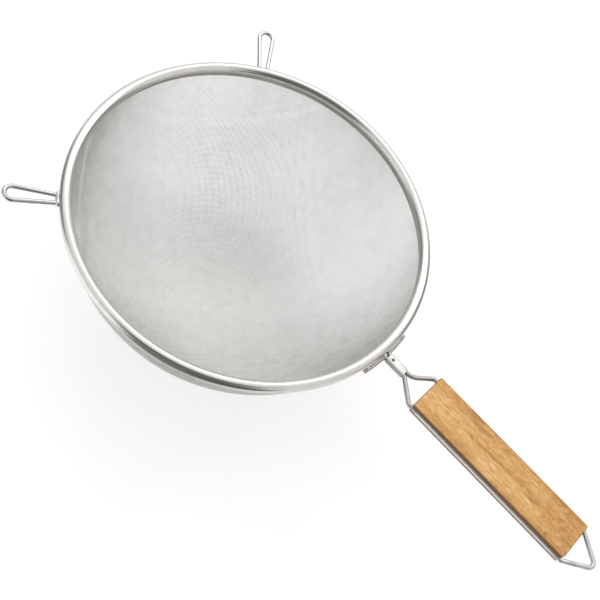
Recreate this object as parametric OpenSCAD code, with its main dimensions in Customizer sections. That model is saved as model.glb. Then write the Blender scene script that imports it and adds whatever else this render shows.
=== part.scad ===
// Fine mesh sieve with a rolled tube rim, two rest hooks and a wire handle with a wooden grip.
// The origin is the centre of the flat pressed into the bottom of the bowl. +Z is up, out of the bowl,
// and +X points along the handle.

/* [Rim] */
// Outside diameter of the rim
rim_d = 260; // [220:5:300]
// Diameter of the tube that the rim's strip is rolled into
tube_d = 8; // [7:0.25:10]
// Thickness of the rim's strip
strip_t = 0.8; // [0.5:0.1:1]
// Length of the strip's inner lip below the tube
lip_in = 2.6; // [1:0.2:6]
// Length of the strip's outer lip below the tube
lip_out = 1.2; // [0.6:0.2:5]

/* [Bowl] */
// Height of the rim's centre line above the resting face
bowl_h = 110.5; // [80:0.5:120]
// Diameter of the flat pressed into the bottom
flat_d = 48; // [30:2:70]
// Thickness of the woven wire sheet
mesh_t = 0.6; // [0.4:0.05:0.8]
// Distance from the tube's centre line in to the middle of the slit that the mesh comes out of
slit_in = 0.7; // [0.2:0.1:1]

/* [Grid that stands for the weave] */
// Number of squares from rim to rim
grid_n = 12; // [8:2:12]
// Width of the bars between the openings
bar_w = 8; // [6:0.5:12]
// Angle between the handle and one way of the weave
weave_angle = 55; // [0:1:90]
// Plain border between the openings and the rim's skirt
grid_border = 4; // [2:0.5:8]

/* [Handle wire] */
// Diameter of the handle's wire
wire_d = 3.3; // [2.8:0.1:4]
// Depth of the handle's wire below the rim's centre line
wire_drop = 3.5; // [2.5:0.25:4.5]
// Length of each end of the wire that lies along the rim
run_l = 17; // [10:1:40]
// Bend radius where each end turns out from the rim into the collar
run_bend_r = 2.4; // [2.2:0.1:3.5]
// Length of straight wire between the collar and the bend into the fork
fork_lead = 0.4; // [0.2:0.1:2]
// Bend radius of the fork's left leg
fork_left_r = 3; // [2.5:0.5:6]
// Bend radius of the fork's right leg
fork_right_r = 10; // [2.5:0.5:12]
// Bend radius of both legs at the corners of the grip
fork_corner_r = 2.5; // [2.2:0.1:4]

/* [Collar] */
// Length of the collar that holds both wires
collar_l = 15; // [10:0.5:20]
// Thickness of the collar's wall
collar_t = 0.6; // [0.4:0.1:1]
// Diameter of the hole in the top of the collar
collar_hole_d = 2.2; // [1:0.1:3]
// Distance of the hole from the collar's rim end
collar_hole_x = 3.6; // [3:0.1:7]

/* [Wooden grip] */
// Length of the grip
wood_l = 133.5; // [100:0.5:180]
// Width of the grip
wood_w = 31; // [24:0.5:40]
// Thickness of the grip
wood_t = 10; // [9:0.25:14]
// Distance from the outside of the rim to the grip
neck_l = 36.5; // [34:0.5:60]
// Corner radius of the grip seen from above
wood_corner_r = 2.2; // [1:0.2:6]
// Rounding of the grip's long edges
wood_edge_r = 0.9; // [0.4:0.1:1]
// Height of the groove in each long edge
groove_h = 4.6; // [4.4:0.1:6]
// Height of the wood below the groove
groove_lip = 2; // [1.6:0.1:3]
// Distance of the wire's centre line in from the grip's edge
wire_inset = 1.4; // [0.4:0.1:2]

/* [Hanging loop] */
// Length of the loop beyond the grip
loop_l = 20.5; // [16:0.5:40]
// Bend radius at the loop's tip
loop_tip_r = 4; // [3:0.5:6]
// Bend radius where the wire leaves the groove
loop_bend_r = 3; // [2:0.5:4]

/* [Rest hooks] */
// Diameter of the hooks' wire
hook_wire_d = 3.1; // [2.6:0.1:3.5]
// Reach of a hook beyond the rim
hook_l = 36; // [25:0.5:50]
// Outside width of a hook's eye
hook_w = 13.3; // [11:0.1:16]
// Outside width of a hook's legs at the rim
hook_root_w = 9; // [7.5:0.1:10.5]
// Angle between the handle and each hook
hook_angle = 131.4; // [100:0.2:140]
// Upward slope of the hooks
hook_rise = 5; // [0:1:12]
// Depth of the hooks' roots below the rim's centre line
hook_drop = 2; // [0:0.1:2.4]

/* [Welds] */
// Diameter of the weld bead at a hook's root
hook_weld_d = 4.6; // [4:0.1:5.5]
// Diameter of the weld bead at each end of the handle's wire
wire_weld_d = 3.2; // [2.6:0.1:4]

/* [Fits] */
// Gap between pieces that are clamped, wrapped or welded together
fit = 0.05; // [0.03:0.01:0.08]
// Gap between the handle's wire and the wood
wood_fit = 0.1; // [0.05:0.05:0.2]

/* [Hidden] */
$fn = 96;
bowl_fn = 240;

// A straight stretch of wire is a hair thinner than its bends and tucked into them, so that they join
hair = 0.02;
tuck = 0.15;

// Rim tube and the wrap inside it
tube_r = tube_d / 2;
ring_r = rim_d / 2 - tube_r;
core_r = tube_r - strip_t - mesh_t - 2 * fit;
wrap_in = core_r + fit;
wrap_out = wrap_in + mesh_t;
wrap_open_from = 272;
wrap_open_to = 310;

// Bowl: a sphere through the skirt's foot and the edge of the flat
flat_r = flat_d / 2;
skirt_out = ring_r - slit_in + mesh_t / 2;
skirt_in = skirt_out - mesh_t;
skirt_gap = 0.6;
skirt_z = bowl_h - tube_r - lip_in - skirt_gap;
sphere_z = (pow(skirt_out, 2) + pow(skirt_z, 2) - pow(flat_r, 2)) / (2 * skirt_z);
sphere_r = sqrt(pow(flat_r, 2) + pow(sphere_z, 2));

// Grid: the angle that one square takes up, seen from the middle of the sphere
square_a = acos((sphere_z - skirt_z) / sphere_r) * 2 / grid_n;
square_l = sphere_r * square_a * PI / 180;
grid_top = skirt_z - grid_border;
grid_foot = flat_r + grid_border;
least_opening = 3;

// Handle wire, all in one level plane
wire_r = wire_d / 2;
wire_z = bowl_h - wire_drop;
run_r = ring_r + sqrt(pow(tube_r + wire_r + fit, 2) - pow(wire_drop, 2));
pair_y = wire_r + fit;
run_bend_y = pair_y + run_bend_r;
run_bend_x = sqrt(pow(run_r + run_bend_r, 2) - pow(run_bend_y, 2));
run_from = asin(run_bend_y / (run_r + run_bend_r));
run_to = run_from + run_l / run_r * 180 / PI;
run_tuck = tuck / run_r * 180 / PI;
collar_x = run_bend_x;
collar_end = collar_x + collar_l;
wood_x = rim_d / 2 + neck_l;
wood_end = wood_x + wood_l;
groove_y = wood_w / 2 - wire_inset;
groove_floor = groove_y - wire_r - wood_fit;
wood_low = wire_z - wire_r - wood_fit - groove_lip;
fork_x = collar_end + fork_lead;
corner_x = wood_x - fork_corner_r;

// Slope of a fork leg that leaves the pair at x, and where a leg bent to radius r turns away
function leg_slope(x) = atan2(groove_y - pair_y, corner_x - x);
function leg_x(r) = fork_x + r * tan(leg_slope(fork_x + r / 2) / 2);

// The bend cuts the tip's corner, so the legs aim a little beyond the loop's end
loop_slope = atan2(groove_y, loop_l - wire_r);
loop_foot = wood_end + wood_fit + loop_bend_r * tan(loop_slope / 2);
tip_x = wood_end + loop_l - wire_r + loop_tip_r * (1 / sin(loop_slope) - 1);

// Hook: two legs that touch the eye's round end
hook_wire_r = hook_wire_d / 2;
eye_r = hook_w / 2 - hook_wire_r;
eye_x = hook_l - hook_wire_r - eye_r;
leg_y = hook_root_w / 2 - hook_wire_r;
leg_aim = atan2(leg_y, eye_x);
leg_reach = sqrt(pow(eye_x, 2) + pow(leg_y, 2));
leg_fan = acos(eye_r / leg_reach);
touch_a = 180 - leg_aim - leg_fan;
hook_weld_r = hook_weld_d / 2;
hook_weld_l = hook_root_w - hook_wire_d + 1;
wire_weld_r = wire_weld_d / 2;

steel = [0.80, 0.80, 0.79];
mesh_grey = [0.74, 0.74, 0.73];
weld_grey = [0.88, 0.88, 0.87];
wood_tan = [0.87, 0.68, 0.42];

// Angle from point b towards point c
function heading(b, c) = atan2(c[1] - b[1], c[0] - b[0]);
// Turn of a path at b, on its way from a to c, between -180 and 180
function turn(a, b, c) = let (t = heading(b, c) - heading(a, b)) t > 180 ? t - 360 : t < -180 ? t + 360 : t;
// Straight that the bend at point i takes up
function take(p, r, i) = i == 0 || i == len(p) - 1 ? 0 : r[i] * tan(abs(turn(p[i - 1], p[i], p[i + 1])) / 2);

// One straight stretch of wire from point i to the next, a little way into the bends at its ends
module stretch(p, r, i, d) {
    a = heading(p[i], p[i + 1]);
    from = take(p, r, i) - (i == 0 ? 0 : tuck);
    to = norm(p[i + 1] - p[i]) - take(p, r, i + 1) + (i == len(p) - 2 ? 0 : tuck);
    translate([p[i][0], p[i][1], 0])
        rotate([0, 0, a])
            translate([from, 0, 0])
                rotate([0, 90, 0])
                    cylinder(d = d - hair, h = to - from);
}

// The bend of the wire at point i
module bend(p, r, i, d) {
    a = heading(p[i - 1], p[i]);
    t = turn(p[i - 1], p[i], p[i + 1]);
    side = sign(t);
    back = take(p, r, i);
    centre = p[i] - back * [cos(a), sin(a)] + side * r[i] * [-sin(a), cos(a)];
    translate([centre[0], centre[1], 0])
        rotate([0, 0, side > 0 ? a - 90 : a + 90 + t])
            rotate_extrude(angle = abs(t))
                translate([r[i], 0])
                    circle(d = d);
}

// Round wire of diameter d through the points p, bent to radius r[i] at each inner point
module bent_wire(p, r, d) {
    for (i = [0 : len(p) - 2]) stretch(p, r, i, d);
    for (i = [1 : len(p) - 2]) bend(p, r, i, d);
}

// Ring of round section, used to cut what is welded against the rim
module rim_cutter() {
    translate([0, 0, bowl_h])
        rotate_extrude($fn = bowl_fn)
            translate([ring_r, 0])
                circle(r = tube_r + fit);
}

// Cloth pressed into a bowl keeps the length of its squares' sides, so they lean into diamonds up the wall.
// These give the net of their corners over one quarter, as directions from the middle of the sphere. The two
// lines through the bottom are straight, and each next corner mirrors the one before it across its neighbours.
function mirrored(c, a, b) = let (m = cross(a, b) / norm(cross(a, b))) c - 2 * (c * m) * m;
function next_row(row, first) = [for (j = 0, p = first; j < len(row); j = j + 1, p = j < len(row) ? mirrored(row[j - 1], row[j], p) : p) p];
function first_row(n) = [for (j = [0 : n]) [0, sin(j * square_a), -cos(j * square_a)]];
function net(n) = [for (i = 0, row = first_row(n); i <= n; i = i + 1, row = next_row(row, [sin(i * square_a), 0, -cos(i * square_a)])) row];

// Straight cut along the line from the middle of the sphere, through one square less half a bar all round
module opening(corners) {
    c = (corners[0] + corners[1] + corners[2] + corners[3]) / 4;
    n = c / norm(c);
    t = acos(n[2]);
    f = atan2(n[1], n[0]);
    ex = [cos(t) * cos(f), cos(t) * sin(f), -sin(t)];
    ey = [-sin(f), cos(f), 0];
    q = [for (p = corners) c + (p - c) * (1 - bar_w / square_l)];
    low = sphere_z + sphere_r * min([for (p = q) p[2]]);
    high = sphere_z + sphere_r * max([for (p = q) p[2]]);
    near = sphere_r * min([for (p = q) norm([p[0], p[1]])]);
    far = sphere_r * max([for (p = q) norm([p[0], p[1]])]);
    if (low < grid_top - least_opening && far > grid_foot + least_opening)
        intersection() {
            translate([0, 0, sphere_z])
                rotate([0, t, f])
                    translate([0, 0, sphere_r - 4 * mesh_t])
                        linear_extrude(6 * mesh_t)
                            polygon([for (p = q) sphere_r * [p * ex, p * ey]]);
            if (high > grid_top)
                cylinder(r = rim_d / 2, h = grid_top);
            if (near < grid_foot)
                difference() {
                    translate([0, 0, -mesh_t])
                        cylinder(r = rim_d / 2, h = bowl_h);
                    translate([0, 0, -2 * mesh_t])
                        cylinder(r = grid_foot, h = bowl_h);
                }
        }
}

// Openings of all four quarters
module grid_openings() {
    corner = net(grid_n / 2);
    for (k = [0 : 3], i = [0 : grid_n / 2 - 1], j = [0 : grid_n / 2 - 1])
        rotate([0, 0, weave_angle + 90 * k])
            opening([corner[i][j], corner[i + 1][j], corner[i + 1][j + 1], corner[i][j + 1]]);
}

// Half of the woven bowl's section: wrap round the core wire, skirt through the slit, sphere and flat
module bowl_section() {
    difference() {
        translate([ring_r, bowl_h])
            circle(r = wrap_out);
        translate([ring_r, bowl_h])
            circle(r = wrap_in);
        translate([ring_r, bowl_h])
            polygon([[0, 0],
                     2 * wrap_out * [cos(wrap_open_from), sin(wrap_open_from)],
                     2 * wrap_out * [cos(wrap_open_to), sin(wrap_open_to)]]);
    }
    translate([skirt_in, skirt_z - mesh_t])
        square([mesh_t, bowl_h - wrap_in - mesh_t * 0.3 - skirt_z + mesh_t]);
    difference() {
        intersection() {
            translate([0, sphere_z])
                circle(r = sphere_r, $fn = bowl_fn);
            square([skirt_out, skirt_z]);
        }
        intersection() {
            translate([0, sphere_z])
                circle(r = sphere_r - mesh_t, $fn = bowl_fn);
            translate([0, mesh_t])
                square([skirt_in, skirt_z]);
        }
    }
}

module mesh_bowl() {
    color(mesh_grey)
        difference() {
            rotate_extrude($fn = bowl_fn)
                bowl_section();
            grid_openings();
        }
}

// One lip of the strip, hanging from the tube beside the slit, with a rounded end
module lip(x, drop) {
    translate([x, -tube_r - drop + strip_t / 2])
        square([strip_t, drop + strip_t / 4]);
    translate([x + strip_t / 2, -tube_r - drop + strip_t / 2])
        circle(d = strip_t);
}

module rim_strip() {
    color(steel)
        translate([0, 0, bowl_h])
            rotate_extrude($fn = bowl_fn) {
                difference() {
                    translate([ring_r, 0])
                        circle(r = tube_r);
                    translate([ring_r, 0])
                        circle(r = tube_r - strip_t);
                    translate([skirt_in - fit, -tube_r - fit])
                        square([mesh_t + 2 * fit, 2 * strip_t]);
                }
                lip(skirt_in - fit - strip_t, lip_in);
                lip(skirt_out + fit, lip_out);
            }
}

module rim_core_wire() {
    color(steel)
        translate([0, 0, bowl_h])
            rotate_extrude($fn = bowl_fn)
                translate([ring_r, 0])
                    circle(r = core_r);
}

// Places a hook's own frame, +X outwards from the rim, at the side that sign s gives
module at_hook(s) {
    rotate([0, 0, s * hook_angle])
        translate([rim_d / 2, 0, bowl_h - hook_drop])
            rotate([0, -hook_rise, 0])
                children();
}

// Straight leg from inside the weld to where it touches the eye
module hook_leg(s) {
    touch = [eye_x + eye_r * cos(touch_a), s * eye_r * sin(touch_a)];
    root = [0, s * leg_y];
    translate([root[0], root[1], 0])
        rotate([0, 0, heading(root, touch)])
            rotate([0, 90, 0])
                cylinder(d = hook_wire_d - hair, h = norm(touch - root) + tuck);
}

// Bead of weld that joins both legs to the tube
module hook_bead() {
    translate([0, -hook_weld_l / 2, 0])
        rotate([-90, 0, 0])
            cylinder(r = hook_weld_r, h = hook_weld_l);
    for (s = [-1, 1])
        translate([0, s * hook_weld_l / 2, 0])
            sphere(r = hook_weld_r);
}

// Round cut that ends both legs at the bead
module leg_cut() {
    translate([0, -hook_root_w, 0])
        rotate([-90, 0, 0])
            cylinder(r = hook_weld_r + fit, h = 2 * hook_root_w);
}

module rest_hook(s) {
    color(steel)
        difference() {
            at_hook(s) {
                for (side = [-1, 1]) hook_leg(side);
                translate([eye_x, 0, 0])
                    rotate([0, 0, -touch_a])
                        rotate_extrude(angle = 2 * touch_a)
                            translate([eye_r, 0])
                                circle(d = hook_wire_d);
            }
            at_hook(s) leg_cut();
        }
}

module hook_weld(s) {
    color(weld_grey)
        difference() {
            at_hook(s) hook_bead();
            rim_cutter();
        }
}

// The grip's wire: collar, fork, grooves and hanging loop in one bent length
module handle_wire() {
    points = [
        [collar_x - tuck, -pair_y],
        [leg_x(fork_left_r), -pair_y],
        [corner_x, -groove_y],
        [loop_foot, -groove_y],
        [tip_x, 0],
        [loop_foot, groove_y],
        [corner_x, groove_y],
        [leg_x(fork_right_r), pair_y],
        [collar_x - tuck, pair_y]];
    radii = [0, fork_left_r, fork_corner_r, loop_bend_r, loop_tip_r, loop_bend_r, fork_corner_r, fork_right_r, 0];
    color(steel)
        translate([0, 0, wire_z]) {
            bent_wire(points, radii, wire_d);
            for (s = [0, 1])
                mirror([0, s, 0]) {
                    translate([run_bend_x, run_bend_y, 0])
                        rotate([0, 0, 180 + run_from])
                            rotate_extrude(angle = 90 - run_from)
                                translate([run_bend_r, 0])
                                    circle(d = wire_d);
                    rotate([0, 0, run_from - run_tuck])
                        rotate_extrude(angle = run_to - run_from + run_tuck, $fn = bowl_fn)
                            translate([run_r, 0])
                                circle(d = wire_d - hair);
                }
        }
}

// Weld bead in the crook above the wire's end and beside the tube
module wire_weld(s) {
    slope = atan2(wire_drop, run_r - ring_r);
    color(weld_grey)
        difference() {
            rotate([0, 0, s * (run_to - 1)])
                translate([ring_r + tube_r * cos(slope) + wire_weld_r * sin(slope) * 0.8, 0,
                           bowl_h - tube_r * sin(slope) + wire_weld_r * cos(slope) * 0.8])
                    sphere(d = wire_weld_d);
            rim_cutter();
            translate([0, 0, wire_z])
                rotate_extrude($fn = bowl_fn)
                    translate([run_r, 0])
                        circle(r = wire_r + fit);
        }
}

// Section of the collar: a round tube pressed flat over the pair of wires
module collar_section(grow) {
    r = wire_r + fit + grow;
    for (s = [-1, 1])
        translate([s * pair_y, 0])
            circle(r = r);
    translate([-pair_y, -r])
        square([2 * pair_y, 2 * r]);
}

module collar() {
    color(steel)
        difference() {
            translate([collar_x, 0, wire_z])
                rotate([90, 0, 90])
                    linear_extrude(collar_l)
                        difference() {
                            collar_section(collar_t);
                            collar_section(0);
                        }
            translate([collar_x + collar_hole_x, 0, wire_z])
                cylinder(d = collar_hole_d, h = wire_d + collar_t);
        }
}

// Section of the grip across its length, with its edges eased and a groove in each
module wood_section() {
    inner_w = wood_w / 2 - wood_edge_r;
    difference() {
        union() {
            translate([-wood_w / 2, wood_edge_r])
                square([wood_w, wood_t - 2 * wood_edge_r]);
            translate([-inner_w, 0])
                square([2 * inner_w, wood_t]);
            for (x = [-inner_w, inner_w], z = [wood_edge_r, wood_t - wood_edge_r])
                translate([x, z])
                    circle(r = wood_edge_r);
        }
        for (s = [0, 1])
            mirror([s, 0])
                translate([groove_floor, groove_lip])
                    square([wood_w, groove_h]);
    }
}

// Outline of the grip from above
module wood_plan() {
    side = wood_w / 2 - wood_corner_r;
    translate([0, -side])
        square([wood_l, 2 * side]);
    translate([wood_corner_r, -wood_w / 2])
        square([wood_l - 2 * wood_corner_r, wood_w]);
    for (x = [wood_corner_r, wood_l - wood_corner_r], y = [-side, side])
        translate([x, y])
            circle(r = wood_corner_r);
}

module wood_handle() {
    color(wood_tan)
        translate([wood_x, 0, wood_low])
            intersection() {
                rotate([90, 0, 90])
                    linear_extrude(wood_l)
                        wood_section();
                linear_extrude(wood_t)
                    wood_plan();
            }
}

mesh_bowl();
rim_strip();
rim_core_wire();
rest_hook(-1);  // rest_hook_left
rest_hook(1);  // rest_hook_right
hook_weld(-1);  // hook_weld_left
hook_weld(1);  // hook_weld_right
handle_wire();
wire_weld(-1);  // wire_weld_left
wire_weld(1);  // wire_weld_right
collar();
wood_handle();
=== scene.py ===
# %% [markdown]
# A fine mesh sieve, built on its CAD frame.
# The part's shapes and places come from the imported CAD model, which the next cell loads.
# Each later step says what a piece is on the real sieve, how it could be made, and why this way was taken.
# Everything is in metres, with the origin under the middle of the bowl, +Z up and +X along the handle.

# %% Load the frame
import math
import bpy
import numpy as np
from mathutils import Matrix, Vector


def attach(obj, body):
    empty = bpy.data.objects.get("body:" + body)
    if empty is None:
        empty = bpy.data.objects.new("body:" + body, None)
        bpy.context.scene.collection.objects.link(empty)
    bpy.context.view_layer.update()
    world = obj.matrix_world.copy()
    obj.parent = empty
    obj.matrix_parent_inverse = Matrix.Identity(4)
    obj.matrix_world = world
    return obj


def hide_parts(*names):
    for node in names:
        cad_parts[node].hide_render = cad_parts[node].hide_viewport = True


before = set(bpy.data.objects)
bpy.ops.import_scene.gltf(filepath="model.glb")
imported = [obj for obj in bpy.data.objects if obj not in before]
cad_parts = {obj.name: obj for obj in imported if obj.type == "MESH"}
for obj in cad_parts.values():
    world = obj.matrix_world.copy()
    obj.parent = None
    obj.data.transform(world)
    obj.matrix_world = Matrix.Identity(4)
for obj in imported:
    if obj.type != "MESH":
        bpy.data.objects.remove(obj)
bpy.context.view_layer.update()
MM = 0.001
print("CAD nodes:", sorted(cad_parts))

# %% [markdown]
# The camera stands where the photograph was taken from. Its direction, turn and distance were solved from the
# rim's ellipse, the two hooks and the handle, so they are given here as plain numbers and need no aiming object.
# The lens is worked out from the focal length in pixels for a picture 600 pixels wide.

# %% Camera
azimuth, elevation, roll = (math.radians(a) for a in (15.66, 56.64, 32.57))
distance, focal = 0.725, 1064
axis_pixel, aim_pixel = (298.45, 284.89), (253.30, 215.42)
rim_centre = Vector((0, 0, 110.5 * MM))

back = Vector((math.sin(azimuth) * math.cos(elevation), -math.cos(azimuth) * math.cos(elevation), math.sin(elevation)))
level = Vector((math.cos(azimuth), math.sin(azimuth), 0))
upward = back.cross(level)
picture_right = math.cos(roll) * level + math.sin(roll) * upward
picture_up = math.cos(roll) * upward - math.sin(roll) * level
shift_right = (aim_pixel[0] - axis_pixel[0]) * distance / focal
shift_up = (axis_pixel[1] - aim_pixel[1]) * distance / focal
eye = rim_centre + distance * back - shift_right * picture_right - shift_up * picture_up

lens = bpy.data.cameras.new("camera")
lens.lens = 36 * focal / 600
lens.shift_x = (300 - axis_pixel[0]) / 600
lens.shift_y = (axis_pixel[1] - 300) / 600
camera = bpy.data.objects.new("camera", lens)
bpy.context.scene.collection.objects.link(camera)
turn = Matrix((picture_right, picture_up, back)).transposed().to_4x4()
camera.matrix_world = Matrix.Translation(eye) @ turn
bpy.context.scene.camera = camera
print("Lens", round(lens.lens, 2), "mm, camera at", [round(c, 3) for c in eye])

# %% [markdown]
# A material in Blender is a tree of nodes. These helpers only save typing: one adds a node with its inputs set,
# one starts a material with a Principled shader, and one makes a node group with named sockets.
# An input is given either a plain value or another node's output, which is then linked.

# %% Node helpers
def node(tree, kind, inputs=None, **settings):
    new = tree.nodes.new("ShaderNode" + kind)
    for name, value in settings.items():
        setattr(new, name, value)
    for name, value in (inputs or {}).items():
        if isinstance(value, bpy.types.NodeSocket):
            tree.links.new(value, new.inputs[name])
        else:
            new.inputs[name].default_value = value
    return new


def ramp(tree, factor, stops):
    new = node(tree, "ValToRGB", {"Fac": factor})
    while len(new.color_ramp.elements) < len(stops):
        new.color_ramp.elements.new(1)
    for element, (place, colour) in zip(new.color_ramp.elements, stops):
        element.position = place
        element.color = (*colour, 1)
    return new.outputs["Color"]


def new_material(name, **plain):
    material = bpy.data.materials.new(name)
    material.use_nodes = True
    tree = material.node_tree
    shader = tree.nodes["Principled BSDF"]
    for socket, value in plain.items():
        shader.inputs[socket.replace("_", " ")].default_value = value
    place = node(tree, "TexCoord").outputs["Object"]
    return material, tree, shader, place


def new_group(name, inputs, outputs):
    tree = bpy.data.node_groups.new(name, "ShaderNodeTree")
    for socket, kind, value in inputs:
        made = tree.interface.new_socket(socket, in_out="INPUT", socket_type="NodeSocket" + kind)
        if value is not None:
            made.default_value = value
    for socket, kind in outputs:
        tree.interface.new_socket(socket, in_out="OUTPUT", socket_type="NodeSocket" + kind)
    return tree, tree.nodes.new("NodeGroupInput").outputs, tree.nodes.new("NodeGroupOutput").inputs


def use_group(tree, group, **inputs):
    new = tree.nodes.new("ShaderNodeGroup")
    new.node_tree = group
    for name, value in inputs.items():
        name = name.replace("_", " ")
        if isinstance(value, bpy.types.NodeSocket):
            tree.links.new(value, new.inputs[name])
        else:
            new.inputs[name].default_value = value
    return new.outputs


print("Helpers ready")

# %% [markdown]
# All the steel parts have been wiped and handled, which leaves soft smudges that are a little duller than the rest.
# That is one effect on several materials, so it is a group: a slow noise for the smudges and a fast one for tiny pits.

# %% Group: handling
handling, group_in, group_out = new_group(
    "handling",
    [("Vector", "Vector", None), ("Smudge Scale", "Float", 40.0), ("Grain Scale", "Float", 1500.0)],
    [("Smudge", "Float"), ("Grain", "Float")],
)
slow = node(handling, "TexNoise", {"Vector": group_in["Vector"], "Scale": group_in["Smudge Scale"], "Detail": 4.0, "Roughness": 0.6})
soft = node(handling, "MapRange", {"Value": slow.outputs["Fac"], "From Min": 0.42, "From Max": 0.68})
fast = node(handling, "TexNoise", {"Vector": group_in["Vector"], "Scale": group_in["Grain Scale"], "Detail": 2.0})
handling.links.new(soft.outputs["Result"], group_out["Smudge"])
handling.links.new(fast.outputs["Fac"], group_out["Grain"])
print("Group", handling.name)

# %% [markdown]
# The rim and the wires are polished or drawn along their length, which leaves lines that run round the ring.
# A stretched noise needs a direction, and round a ring that direction turns. The group therefore measures each
# point's radius and height, where the lines are close together, and adds its plan position at a much larger scale,
# so that the lines fade in and out along the ring and meet without a seam.

# %% Group: ring lines
ring_lines, group_in, group_out = new_group(
    "ring_lines", [("Vector", "Vector", None), ("Fineness", "Float", 4000.0), ("Length", "Float", 12.0)], [("Lines", "Float")]
)
parts = node(ring_lines, "SeparateXYZ", {"Vector": group_in["Vector"]}).outputs
flat = node(ring_lines, "CombineXYZ", {"X": parts["X"], "Y": parts["Y"]}).outputs["Vector"]
radius = node(ring_lines, "VectorMath", {0: flat}, operation="LENGTH").outputs["Value"]


def times(tree, a, b):
    return node(tree, "Math", {0: a, 1: b}, operation="MULTIPLY").outputs["Value"]


across = node(
    ring_lines,
    "CombineXYZ",
    {
        "X": times(ring_lines, radius, group_in["Fineness"]),
        "Y": times(ring_lines, parts["Z"], group_in["Fineness"]),
        "Z": times(ring_lines, parts["X"], group_in["Length"]),
    },
).outputs["Vector"]
lines = node(
    ring_lines,
    "TexNoise",
    {"Vector": across, "W": times(ring_lines, parts["Y"], group_in["Length"]), "Scale": 1.0, "Detail": 3.0},
    noise_dimensions="4D",
)
ring_lines.links.new(lines.outputs["Fac"], group_out["Lines"])
print("Group", ring_lines.name)

# %% [markdown]
# Polished steel for the rim: nearly a mirror, with faint polishing lines and smudges in its roughness.
# A single roughness would look like plastic chrome, and a picture of scratches is not wanted, so both come from noise.

# %% Material: rim steel
rim_steel, tree, shader, place = new_material("rim_steel", Metallic=1.0)
marks = use_group(tree, handling, Vector=place, Smudge_Scale=55.0, Grain_Scale=1800.0)
lines = use_group(tree, ring_lines, Vector=place, Fineness=3500.0, Length=14.0)["Lines"]
dull = node(tree, "MapRange", {"Value": marks["Smudge"], "To Min": 0.10, "To Max": 0.18}).outputs["Result"]
lined = node(tree, "Math", {0: lines, 1: 0.10, 2: dull}, operation="MULTIPLY_ADD").outputs["Value"]
tree.links.new(lined, shader.inputs["Roughness"])
tree.links.new(ramp(tree, marks["Smudge"], [(0, (0.62, 0.605, 0.58)), (1, (0.56, 0.545, 0.52))]), shader.inputs["Base Color"])
bump = node(tree, "Bump", {"Height": lines, "Strength": 0.12, "Distance": 0.00006})
tree.links.new(bump.outputs["Normal"], shader.inputs["Normal"])
print("Material", rim_steel.name)

# %% [markdown]
# The hooks are bright drawn wire, a touch darker than the rim. The handle's wire is duller, as a hand holds it and it
# was bent and welded later, and the collar is the same steel as a thin pressed tube. They share one recipe with
# different numbers, so it is a function. Along the grip the handle wire's colour is mixed lighter, a painted highlight
# for the bright reflection on the wire in its grooves, and between the grip and the rim it is mixed darker, which is
# painted shade.

# %% Materials: wire, collar and weld
def drawn_steel(name, light, dark, smooth, rough, pits):
    material, tree, shader, place = new_material(name, Metallic=1.0)
    marks = use_group(tree, handling, Vector=place, Smudge_Scale=110.0, Grain_Scale=2600.0)
    dull = node(tree, "MapRange", {"Value": marks["Smudge"], "To Min": smooth, "To Max": rough}).outputs["Result"]
    tree.links.new(dull, shader.inputs["Roughness"])
    tree.links.new(ramp(tree, marks["Smudge"], [(0, light), (1, dark)]), shader.inputs["Base Color"])
    bump = node(tree, "Bump", {"Height": marks["Grain"], "Strength": pits, "Distance": 0.00008})
    tree.links.new(bump.outputs["Normal"], shader.inputs["Normal"])
    print("Material", name)
    return material


hook_steel = drawn_steel("hook_steel", (0.50, 0.49, 0.48), (0.42, 0.41, 0.40), 0.18, 0.28, 0.15)
wire_steel = drawn_steel("wire_steel", (0.54, 0.535, 0.53), (0.46, 0.455, 0.45), 0.42, 0.56, 0.20)
collar_steel = drawn_steel("collar_steel", (0.60, 0.59, 0.575), (0.52, 0.51, 0.495), 0.48, 0.60, 0.25)
weld_silver = drawn_steel("weld_silver", (0.66, 0.66, 0.65), (0.54, 0.54, 0.53), 0.34, 0.50, 0.55)

tree, shader = wire_steel.node_tree, wire_steel.node_tree.nodes["Principled BSDF"]
along = node(tree, "SeparateXYZ", {"Vector": node(tree, "TexCoord").outputs["Object"]}).outputs["X"]
# Painted highlight: the wire's colour is mixed lighter along the grip, between 166 and 306 mm.
held = times(
    tree,
    node(tree, "MapRange", {"Value": along, "From Min": 166 * MM, "From Max": 174 * MM}).outputs["Result"],
    node(tree, "MapRange", {"Value": along, "From Min": 306 * MM, "From Max": 290 * MM}).outputs["Result"],
)
# Painted shade: the wire's colour is mixed darker from 168 mm towards the rim.
painted_shade_mask = node(tree, "MapRange", {"Value": along, "From Min": 168 * MM, "From Max": 156 * MM}).outputs["Result"]
painted_highlight = node(tree, "Mix", {"Factor": held, 6: shader.inputs["Base Color"].links[0].from_socket, 7: (0.92, 0.88, 0.84, 1)}, data_type="RGBA")
highlight_and_shade = node(tree, "Mix", {"Factor": painted_shade_mask, 6: painted_highlight.outputs[2], 7: (0.41, 0.39, 0.375, 1)}, data_type="RGBA")
tree.links.new(highlight_and_shade.outputs[2], shader.inputs["Base Color"])
mesh_steel = drawn_steel("mesh_steel", (0.66, 0.65, 0.625), (0.58, 0.57, 0.545), 0.28, 0.38, 0.10)

# %% [markdown]
# The grip is plain light wood with a straight grain, short dark pores and a few warmer streaks, all running along
# the handle. A Wave texture would give stripes that are too even. Noise that a Mapping node stretches along X
# gives uneven ones: a slow noise for the tone, a less stretched one for the mottled flecks, a fast one for the fibres
# and a sharp one for the pores. The wood is a little darker towards the loop and towards its long edges, and more on
# the eased edges and the end grain. The long sides and the grooves that hold the wire get painted shade: dark brown
# from a little below the top, and a greyer brown from the wire down over the lips.

# %% Material: wood
wood, tree, shader, place = new_material("wood", Specular_IOR_Level=0.35)


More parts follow.
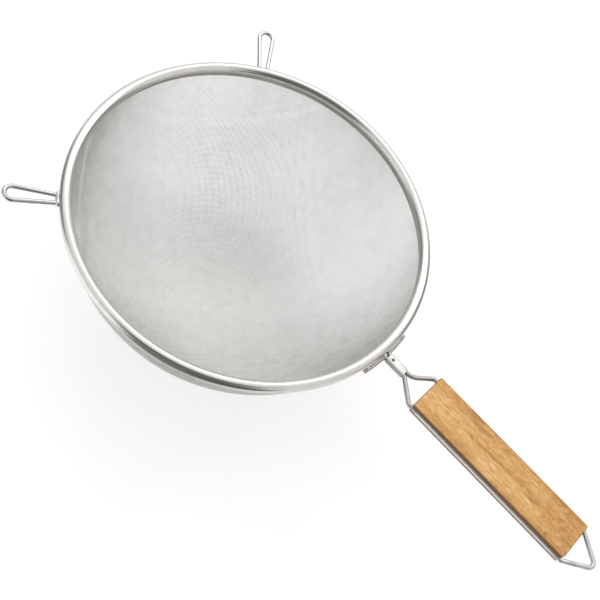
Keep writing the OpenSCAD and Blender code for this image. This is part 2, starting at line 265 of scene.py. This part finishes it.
def stretched(scale, along, **inputs):
    mapped = node(tree, "Mapping", {"Vector": place, "Scale": (along, 1.0, 1.0)}).outputs["Vector"]
    return node(tree, "TexNoise", {"Vector": mapped, "Scale": scale, **inputs}).outputs["Fac"]


tone = stretched(90.0, 0.16, Detail=3.0, Distortion=0.6)
fibre = stretched(700.0, 0.06, Detail=5.0, Roughness=0.65)
pores = stretched(900.0, 0.10, Detail=1.0)
flecks = stretched(260.0, 0.42, Detail=4.0, Roughness=0.7, Distortion=1.4)
figure = node(tree, "Mix", {0: 0.55, 2: tone, 3: flecks}).outputs[0]
spot = node(tree, "SeparateXYZ", {"Vector": place}).outputs
from_middle = node(tree, "Math", {0: spot["Y"]}, operation="ABSOLUTE").outputs["Value"]


def between(value, start, end, low=0.0, high=1.0):
    limits = {"From Min": start * MM, "From Max": end * MM, "To Min": low, "To Max": high}
    return node(tree, "MapRange", {"Value": value, **limits}).outputs["Result"]


def joined(operation, a, b):
    return node(tree, "Math", {0: a, 1: b}, operation=operation).outputs["Value"]


# The tone is a little darker towards the loop and towards the long edges.
figure = joined("ADD", figure, between(spot["X"], 166.5, 300, 0.035, -0.035))
figure = joined("ADD", figure, between(from_middle, 8, 14.5, 0.0, -0.05))
base = ramp(tree, figure, [(0.36, (0.46, 0.215, 0.055)), (0.47, (0.61, 0.32, 0.098)), (0.56, (0.725, 0.425, 0.155)), (0.66, (0.83, 0.545, 0.26))])
fibres = ramp(tree, fibre, [(0.30, (0.78, 0.74, 0.70)), (0.60, (1.0, 1.0, 1.0))])
dashes = ramp(tree, pores, [(0.28, (0.55, 0.45, 0.38)), (0.36, (1.0, 1.0, 1.0))])
grained = node(tree, "Mix", {"Factor": 1.0, 6: base, 7: fibres}, data_type="RGBA", blend_type="MULTIPLY").outputs[2]
pored = node(tree, "Mix", {"Factor": 0.7, 6: grained, 7: dashes}, data_type="RGBA", blend_type="MULTIPLY").outputs[2]
at_end = joined("MAXIMUM", between(spot["X"], 299.2, 299.9), between(spot["X"], 167.3, 166.6))
at_edge = joined("MAXIMUM", between(from_middle, 15.05, 15.4), at_end)
edged = node(tree, "Mix", {"Factor": at_edge, 6: pored, 7: (0.23, 0.115, 0.04, 1)}, data_type="RGBA").outputs[2]
# Painted shade on the long sides and in the grooves: dark brown above 106 mm, a greyer brown below it over the lips.
groove_shade_mask = times(tree, between(spot["Z"], 112.1, 110.9), between(from_middle, 11.6, 12.3))
groove_shade = ramp(tree, joined("GREATER_THAN", spot["Z"], 106.0 * MM), [(0.4, (0.44, 0.34, 0.28)), (0.6, (0.14, 0.06, 0.02))])
groove_shaded = node(tree, "Mix", {"Factor": groove_shade_mask, 6: edged, 7: groove_shade}, data_type="RGBA").outputs[2]
tree.links.new(groove_shaded, shader.inputs["Base Color"])
dry = node(tree, "MapRange", {"Value": fibre, "To Min": 0.62, "To Max": 0.48}).outputs["Result"]
tree.links.new(dry, shader.inputs["Roughness"])
bump = node(tree, "Bump", {"Height": fibre, "Strength": 0.25, "Distance": 0.0002})
tree.links.new(bump.outputs["Normal"], shader.inputs["Normal"])
print("Material", wood.name)

# %% [markdown]
# Most small parts already have the right shape in the CAD model, but its mesh is loose triangles with flat faces,
# which shows as facets on bright steel. A copy is merged and shaded smooth, and stands for the node.

# %% Smooth copies of the CAD nodes
def pick(piece):
    bpy.ops.object.select_all(action="DESELECT")
    piece.select_set(True)
    bpy.context.view_layer.objects.active = piece


def finish_piece(piece, material, slot, *nodes):
    piece.data.materials.clear()
    piece.data.materials.append(material)
    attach(piece, "root")
    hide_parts(*nodes)
    print(piece.name, len(piece.data.polygons), "faces")


def smooth_copy(name, angle=50):
    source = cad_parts[name]
    piece = bpy.data.objects.new(name + "_smooth", source.data.copy())
    bpy.context.scene.collection.objects.link(piece)
    pick(piece)
    bpy.ops.object.mode_set(mode="EDIT")
    bpy.ops.mesh.select_all(action="SELECT")
    bpy.ops.mesh.remove_doubles(threshold=0.000004)
    bpy.ops.object.mode_set(mode="OBJECT")
    bpy.ops.mesh.customdata_custom_splitnormals_clear()
    bpy.ops.object.shade_smooth_by_angle(angle=math.radians(angle))
    return piece


for name, material, slot in (
    ("rest_hook_left", hook_steel, "wire_steel"),
    ("rest_hook_right", hook_steel, "wire_steel"),
    ("handle_wire", wire_steel, "wire_steel"),
    ("rim_core_wire", wire_steel, "wire_steel"),
    ("collar", collar_steel, "collar_steel"),
    ("hook_weld_left", weld_silver, "weld"),
    ("hook_weld_right", weld_silver, "weld"),
    ("wire_weld_left", weld_silver, "weld"),
    ("wire_weld_right", weld_silver, "weld"),
    ("wood_handle", wood, "wood"),
):
    finish_piece(smooth_copy(name, 30 if name == "wood_handle" else 50), material, slot, name)

# %% [markdown]
# The rim is a flat strip rolled into a tube, with two lips that clamp the mesh from inside and outside.
# A torus would have no slit and no lips. As in the workshop, the strip's section is shaped first, from a circle
# whose bottom is opened and whose two ends are pulled down, and it is then spun round the bowl's axis and given
# its thickness.

# %% Rim
tube_r, strip_t = 4.0 * MM, 0.8 * MM
ring_r, rim_z = 126.0 * MM, 110.5 * MM
inner_lip_x, outer_lip_x = 124.55 * MM, 126.05 * MM
inner_lip_end, outer_lip_end = rim_z - 6.6 * MM, rim_z - 5.2 * MM

bpy.ops.object.select_all(action="DESELECT")
bpy.ops.mesh.primitive_circle_add(
    vertices=48, radius=tube_r - strip_t / 2, location=(ring_r, 0, rim_z), rotation=(math.pi / 2, 0, 0)
)
rim = bpy.context.object
rim.name = "rolled_rim"
bpy.ops.object.transform_apply(location=True, rotation=True, scale=True)


def select_points(piece, test):
    bpy.ops.object.mode_set(mode="EDIT")
    bpy.ops.mesh.select_mode(type="VERT")
    bpy.ops.mesh.select_all(action="DESELECT")
    bpy.ops.object.mode_set(mode="OBJECT")
    chosen = [v for v in piece.data.vertices if test(v.co)]
    for v in chosen:
        v.select = True
    bpy.ops.object.mode_set(mode="EDIT")
    return len(chosen)


opened = select_points(rim, lambda p: p.z < rim_z and inner_lip_x + 0.02 * MM < p.x < outer_lip_x + 0.15 * MM)
bpy.ops.mesh.delete(type="VERT")
for lip_x, end in ((inner_lip_x, inner_lip_end), (outer_lip_x, outer_lip_end)):
    bpy.ops.object.mode_set(mode="OBJECT")
    low = [v.co for v in rim.data.vertices if v.co.z < rim_z - 2 * MM]
    edge = min(low, key=lambda p: abs(p.x - lip_x) + (0 if (p.x < 125.3 * MM) == (lip_x < 125.3 * MM) else 1)).copy()
    select_points(rim, lambda p: (p - edge).length < 1e-6)
    bpy.ops.mesh.extrude_region_move(TRANSFORM_OT_translate={"value": (lip_x - edge.x, 0, -0.5 * MM)})
    bpy.ops.mesh.extrude_region_move(TRANSFORM_OT_translate={"value": (0, 0, end - edge.z + 0.5 * MM)})
bpy.ops.mesh.select_all(action="SELECT")
bpy.ops.mesh.spin(steps=288, angle=math.tau, center=(0, 0, 0), axis=(0, 0, 1))
bpy.ops.mesh.select_all(action="SELECT")
bpy.ops.mesh.remove_doubles(threshold=0.000005)
bpy.ops.mesh.normals_make_consistent(inside=False)
bpy.ops.object.mode_set(mode="OBJECT")
wall = rim.modifiers.new("wall", "SOLIDIFY")
wall.thickness, wall.offset, wall.use_even_offset = strip_t, 0, True
bpy.ops.object.modifier_apply(modifier="wall")
bpy.ops.object.shade_smooth_by_angle(angle=math.radians(50))
finish_piece(rim, rim_steel, "rim_steel", "rim_strip")
print("Opened at", opened, "points")

# %% [markdown]
# The bowl is plain woven wire: every wire passes over one neighbour and under the next. The cloth starts flat and is
# pressed into the bowl, so its wires keep their spacing along their length while the squares lean into diamonds.
# A texture on a shell would show that only from far away. Here the crossing points are laid on the bowl first. Two
# wires start through the bottom at right angles, and each next crossing is the mirror of the one before it across
# the line through its two neighbours, which keeps all four sides of the little square the same length.

# %% Crossing points of the cloth
pitch, strand_r = 0.95 * MM, 0.14 * MM
ball_r, ball_z = 127.2 * MM, 125.2 * MM
cloth_turn = math.radians(55)
top_of_cloth = 106.9 * MM
count = int(1.85 * ball_r / pitch)

steps = np.arange(count)
net = np.full((count, count, 3), np.nan)
net[:, 0] = np.stack([np.sin(steps * pitch / ball_r), 0 * steps, -np.cos(steps * pitch / ball_r)], 1)
net[0, :] = net[:, 0][:, [1, 0, 2]]
for total in range(2, 2 * count - 1):
    i = np.arange(max(1, total - count + 1), min(count, total))
    j = total - i
    before, left, right = net[i - 1, j - 1], net[i - 1, j], net[i, j - 1]
    mirror = np.cross(left, right)
    mirror /= np.linalg.norm(mirror, axis=1, keepdims=True)
    net[i, j] = before - 2 * (before * mirror).sum(1, keepdims=True) * mirror
lean = np.degrees(np.arccos(((net[1, 1] - net[0, 1]) * (net[1, 1] - net[1, 0])).sum() * (ball_r / pitch) ** 2))
print("Crossings in one quarter:", count * count, "first square's angle", round(float(lean), 1))

# %% [markdown]
# One quarter is mirrored into the other three. Each wire is then a row of crossings, lifted by one strand radius
# where it passes over and lowered where it passes under. The points below the resting face are pressed flat, and
# those above the slit go straight up into the rim. A wire is drawn as a curve with a round bevel, because a curve
# needs only its points, and it is made a mesh at the end. The wires are split into several pieces so that no
# piece gets too heavy.

# %% Woven wires
def crossing(a, b):
    p = net[np.abs(a), np.abs(b)] * np.stack([np.where(a < 0, -1, 1), np.where(b < 0, -1, 1), np.ones_like(a)], 1)
    return p


def strand(line, along_first):
    k = np.arange(-count + 1, count)
    fixed = np.full_like(k, line)
    a, b = (k, fixed) if along_first else (fixed, k)
    out = crossing(a, b)
    side = np.where((a + b) % 2 == 0, 1.0, -1.0) * (1 if along_first else -1)
    height = ball_z + ball_r * out[:, 2]
    middle = len(k) // 2
    good = height < top_of_cloth
    first, last = middle, middle
    if not good[middle]:
        return None
    while first > 0 and good[first - 1]:
        first -= 1
    while last < len(k) - 1 and good[last + 1]:
        last += 1
    p = out[first : last + 1] * ball_r
    p[:, 2] += ball_z
    reach = np.hypot(p[:, 0], p[:, 1])
    p[:, :2] *= (np.minimum(reach, 125.3 * MM) / np.maximum(reach, 1e-9))[:, None]
    flat = 0.3 * MM
    press = np.clip((p[:, 2] - flat) / (0.8 * MM), -1, 1)
    p[:, 2] = np.where(press < 1, flat + 0.2 * MM * (press + 1) ** 2, p[:, 2])
    normal = out[first : last + 1].copy()
    normal[p[:, 2] < flat + 0.2 * MM] = (0, 0, -1)
    normal[p[:, 2] > 103.3 * MM, 2] = 0
    normal /= np.linalg.norm(normal, axis=1, keepdims=True)
    p += normal * (side[first : last + 1] * strand_r)[:, None]
    c, s = math.cos(cloth_turn), math.sin(cloth_turn)
    return np.stack([c * p[:, 0] - s * p[:, 1], s * p[:, 0] + c * p[:, 1], p[:, 2]], 1)


def wires_piece(name, strands):
    curve = bpy.data.curves.new(name, "CURVE")
    curve.dimensions = "3D"
    curve.bevel_depth = strand_r
    curve.bevel_resolution = 0
    curve.use_fill_caps = True
    for points in strands:
        spline = curve.splines.new("POLY")
        spline.points.add(len(points) - 1)
        spline.points.foreach_set("co", np.hstack([points, np.ones((len(points), 1))]).astype(np.float32).ravel())
    piece = bpy.data.objects.new(name, curve)
    bpy.context.scene.collection.objects.link(piece)
    pick(piece)
    bpy.ops.object.convert(target="MESH")
    piece = bpy.context.object
    bpy.ops.object.shade_smooth()
    return piece


heavy = 22000
for way, along_first in (("warp", True), ("weft", False)):
    batch, number, held = [], 1, 0
    lines_of_wire = [s for s in (strand(n, along_first) for n in range(-count + 1, count)) if s is not None and len(s) > 2]
    for s in lines_of_wire:
        batch.append(s)
        held += len(s)
        if held > heavy or s is lines_of_wire[-1]:
            finish_piece(wires_piece(f"mesh_{way}_{number}", batch), mesh_steel, "mesh", "mesh_bowl")
            batch, number, held = [], number + 1, 0
    print(way, "wires:", len(lines_of_wire))

# %% [markdown]
# Polished steel shows its surroundings more than its own colour, so the studio is built first, as one group that
# says how bright each direction is. It is a plain white room with a lit ceiling behind the sieve, a white panel at
# the front left, a dark side where the camera stands and two dark gaps beside the backdrop. Each of them is a soft
# round patch around its middle direction, laid over the patches before it.

# %% Group: studio
def direction(azimuth, elevation):
    a, e = math.radians(azimuth), math.radians(elevation)
    return Vector((math.sin(a) * math.cos(e), -math.cos(a) * math.cos(e), math.sin(e)))


studio, group_in, group_out = new_group("studio", [("Vector", "Vector", None)], [("Light", "Float")])
toward = node(studio, "VectorMath", {0: group_in["Vector"]}, operation="NORMALIZE").outputs["Vector"]
level = 1.0
for name, azimuth, elevation, inner, outer, brightness in (
    ("ceiling behind", 215, 58, 16, 50, 1.35),
    ("left gap", 286, 2, 8, 32, 0.30),
    ("left gap, low", 250, -36, 8, 30, 0.42),
    ("right gap", 143, -3, 8, 34, 0.38),
    ("dark side, high", 26, 45, 22, 38, 0.20),
    ("dark side, low", 20, 2, 20, 38, 0.24),
    ("dark side, right", 47, 4, 14, 26, 0.12),
    ("white panel", 332, -3, 17, 29, 1.40),
):
    facing = node(studio, "VectorMath", {0: toward, 1: direction(azimuth, elevation)}, operation="DOT_PRODUCT")
    limits = {"From Min": math.cos(math.radians(outer)), "From Max": math.cos(math.radians(inner))}
    patch = node(studio, "MapRange", {"Value": facing.outputs["Value"], **limits}, interpolation_type="SMOOTHSTEP")
    patch.label = name
    level = node(studio, "Mix", {0: patch.outputs["Result"], 2: level, 3: brightness}).outputs[0]
studio.links.new(level, group_out["Light"])
print("Group", studio.name)

# %% [markdown]
# The sieve stands on a light table, a pale sheet that is lit from above and glows from below, so it comes out
# almost white and holds only a faint shadow. The camera sees it evenly pale, and the steel sees it as dark or as light as the room behind it,
# because in a real studio the table soon ends. Light Path tells the two apart.

# %% Floor
bpy.ops.object.select_all(action="DESELECT")
bpy.ops.mesh.primitive_plane_add(size=8, location=(0, 0, 0))
floor = bpy.context.object
floor.name = "floor"
pale, tree, shader, place = new_material("floor_pale", Specular_IOR_Level=0.1, Roughness=0.9)
clouds = node(tree, "TexNoise", {"Vector": place, "Scale": 3.0, "Detail": 2.0}).outputs["Fac"]
near_colour = ramp(tree, clouds, [(0.3, (0.64, 0.64, 0.64)), (0.7, (0.66, 0.66, 0.66))])
from_rim = node(tree, "VectorMath", {0: place, 1: rim_centre}, operation="SUBTRACT").outputs["Vector"]
room_light = use_group(tree, studio, Vector=from_rim)["Light"]
shade = node(tree, "Mix", {0: 1.0, 6: near_colour, 7: room_light}, data_type="RGBA", blend_type="MULTIPLY").outputs[2]
seen = node(tree, "LightPath").outputs["Is Camera Ray"]
mixed = node(tree, "Mix", {0: seen, 6: shade, 7: near_colour}, data_type="RGBA").outputs[2]
tree.links.new(mixed, shader.inputs["Base Color"])
tree.links.new(mixed, shader.inputs["Emission Color"])
shader.inputs["Emission Strength"].default_value = 0.65
floor.data.materials.append(pale)
print("Floor", floor.dimensions[:2])

# %% [markdown]
# The world carries the studio's light. A soft box behind the sieve adds the long white highlight that runs round the
# rim, and the soft shadow below the bowl. The camera itself sees only a white world.

# %% World and light
world = bpy.data.worlds.new("studio")
bpy.context.scene.world = world
world.use_nodes = True
sky = world.node_tree
around = node(sky, "TexCoord").outputs["Generated"]
room = use_group(sky, studio, Vector=around)["Light"]
seen = node(sky, "LightPath").outputs["Is Camera Ray"]
backdrop = node(sky, "Mix", {0: seen, 6: room, 7: (1, 1, 1, 1)}, data_type="RGBA").outputs[2]
sky.links.new(backdrop, sky.nodes["Background"].inputs["Color"])


def soft_box(name, azimuth, elevation, distance, size, radiance):
    light = bpy.data.lights.new(name, "AREA")
    light.shape, light.size, light.size_y = "RECTANGLE", size[0], size[1]
    light.energy = radiance * math.pi * size[0] * size[1]
    lamp = bpy.data.objects.new(name, light)
    bpy.context.scene.collection.objects.link(lamp)
    away = direction(azimuth, elevation)
    lamp.location = rim_centre + distance * away
    lamp.rotation_euler = away.to_track_quat("Z", "Y").to_euler()
    print(name, round(light.energy, 1), "W")


soft_box("back_box", 203, 52, 1.6, (2.4, 0.36), 3.0)
bpy.context.scene.view_settings.view_transform = "Standard"
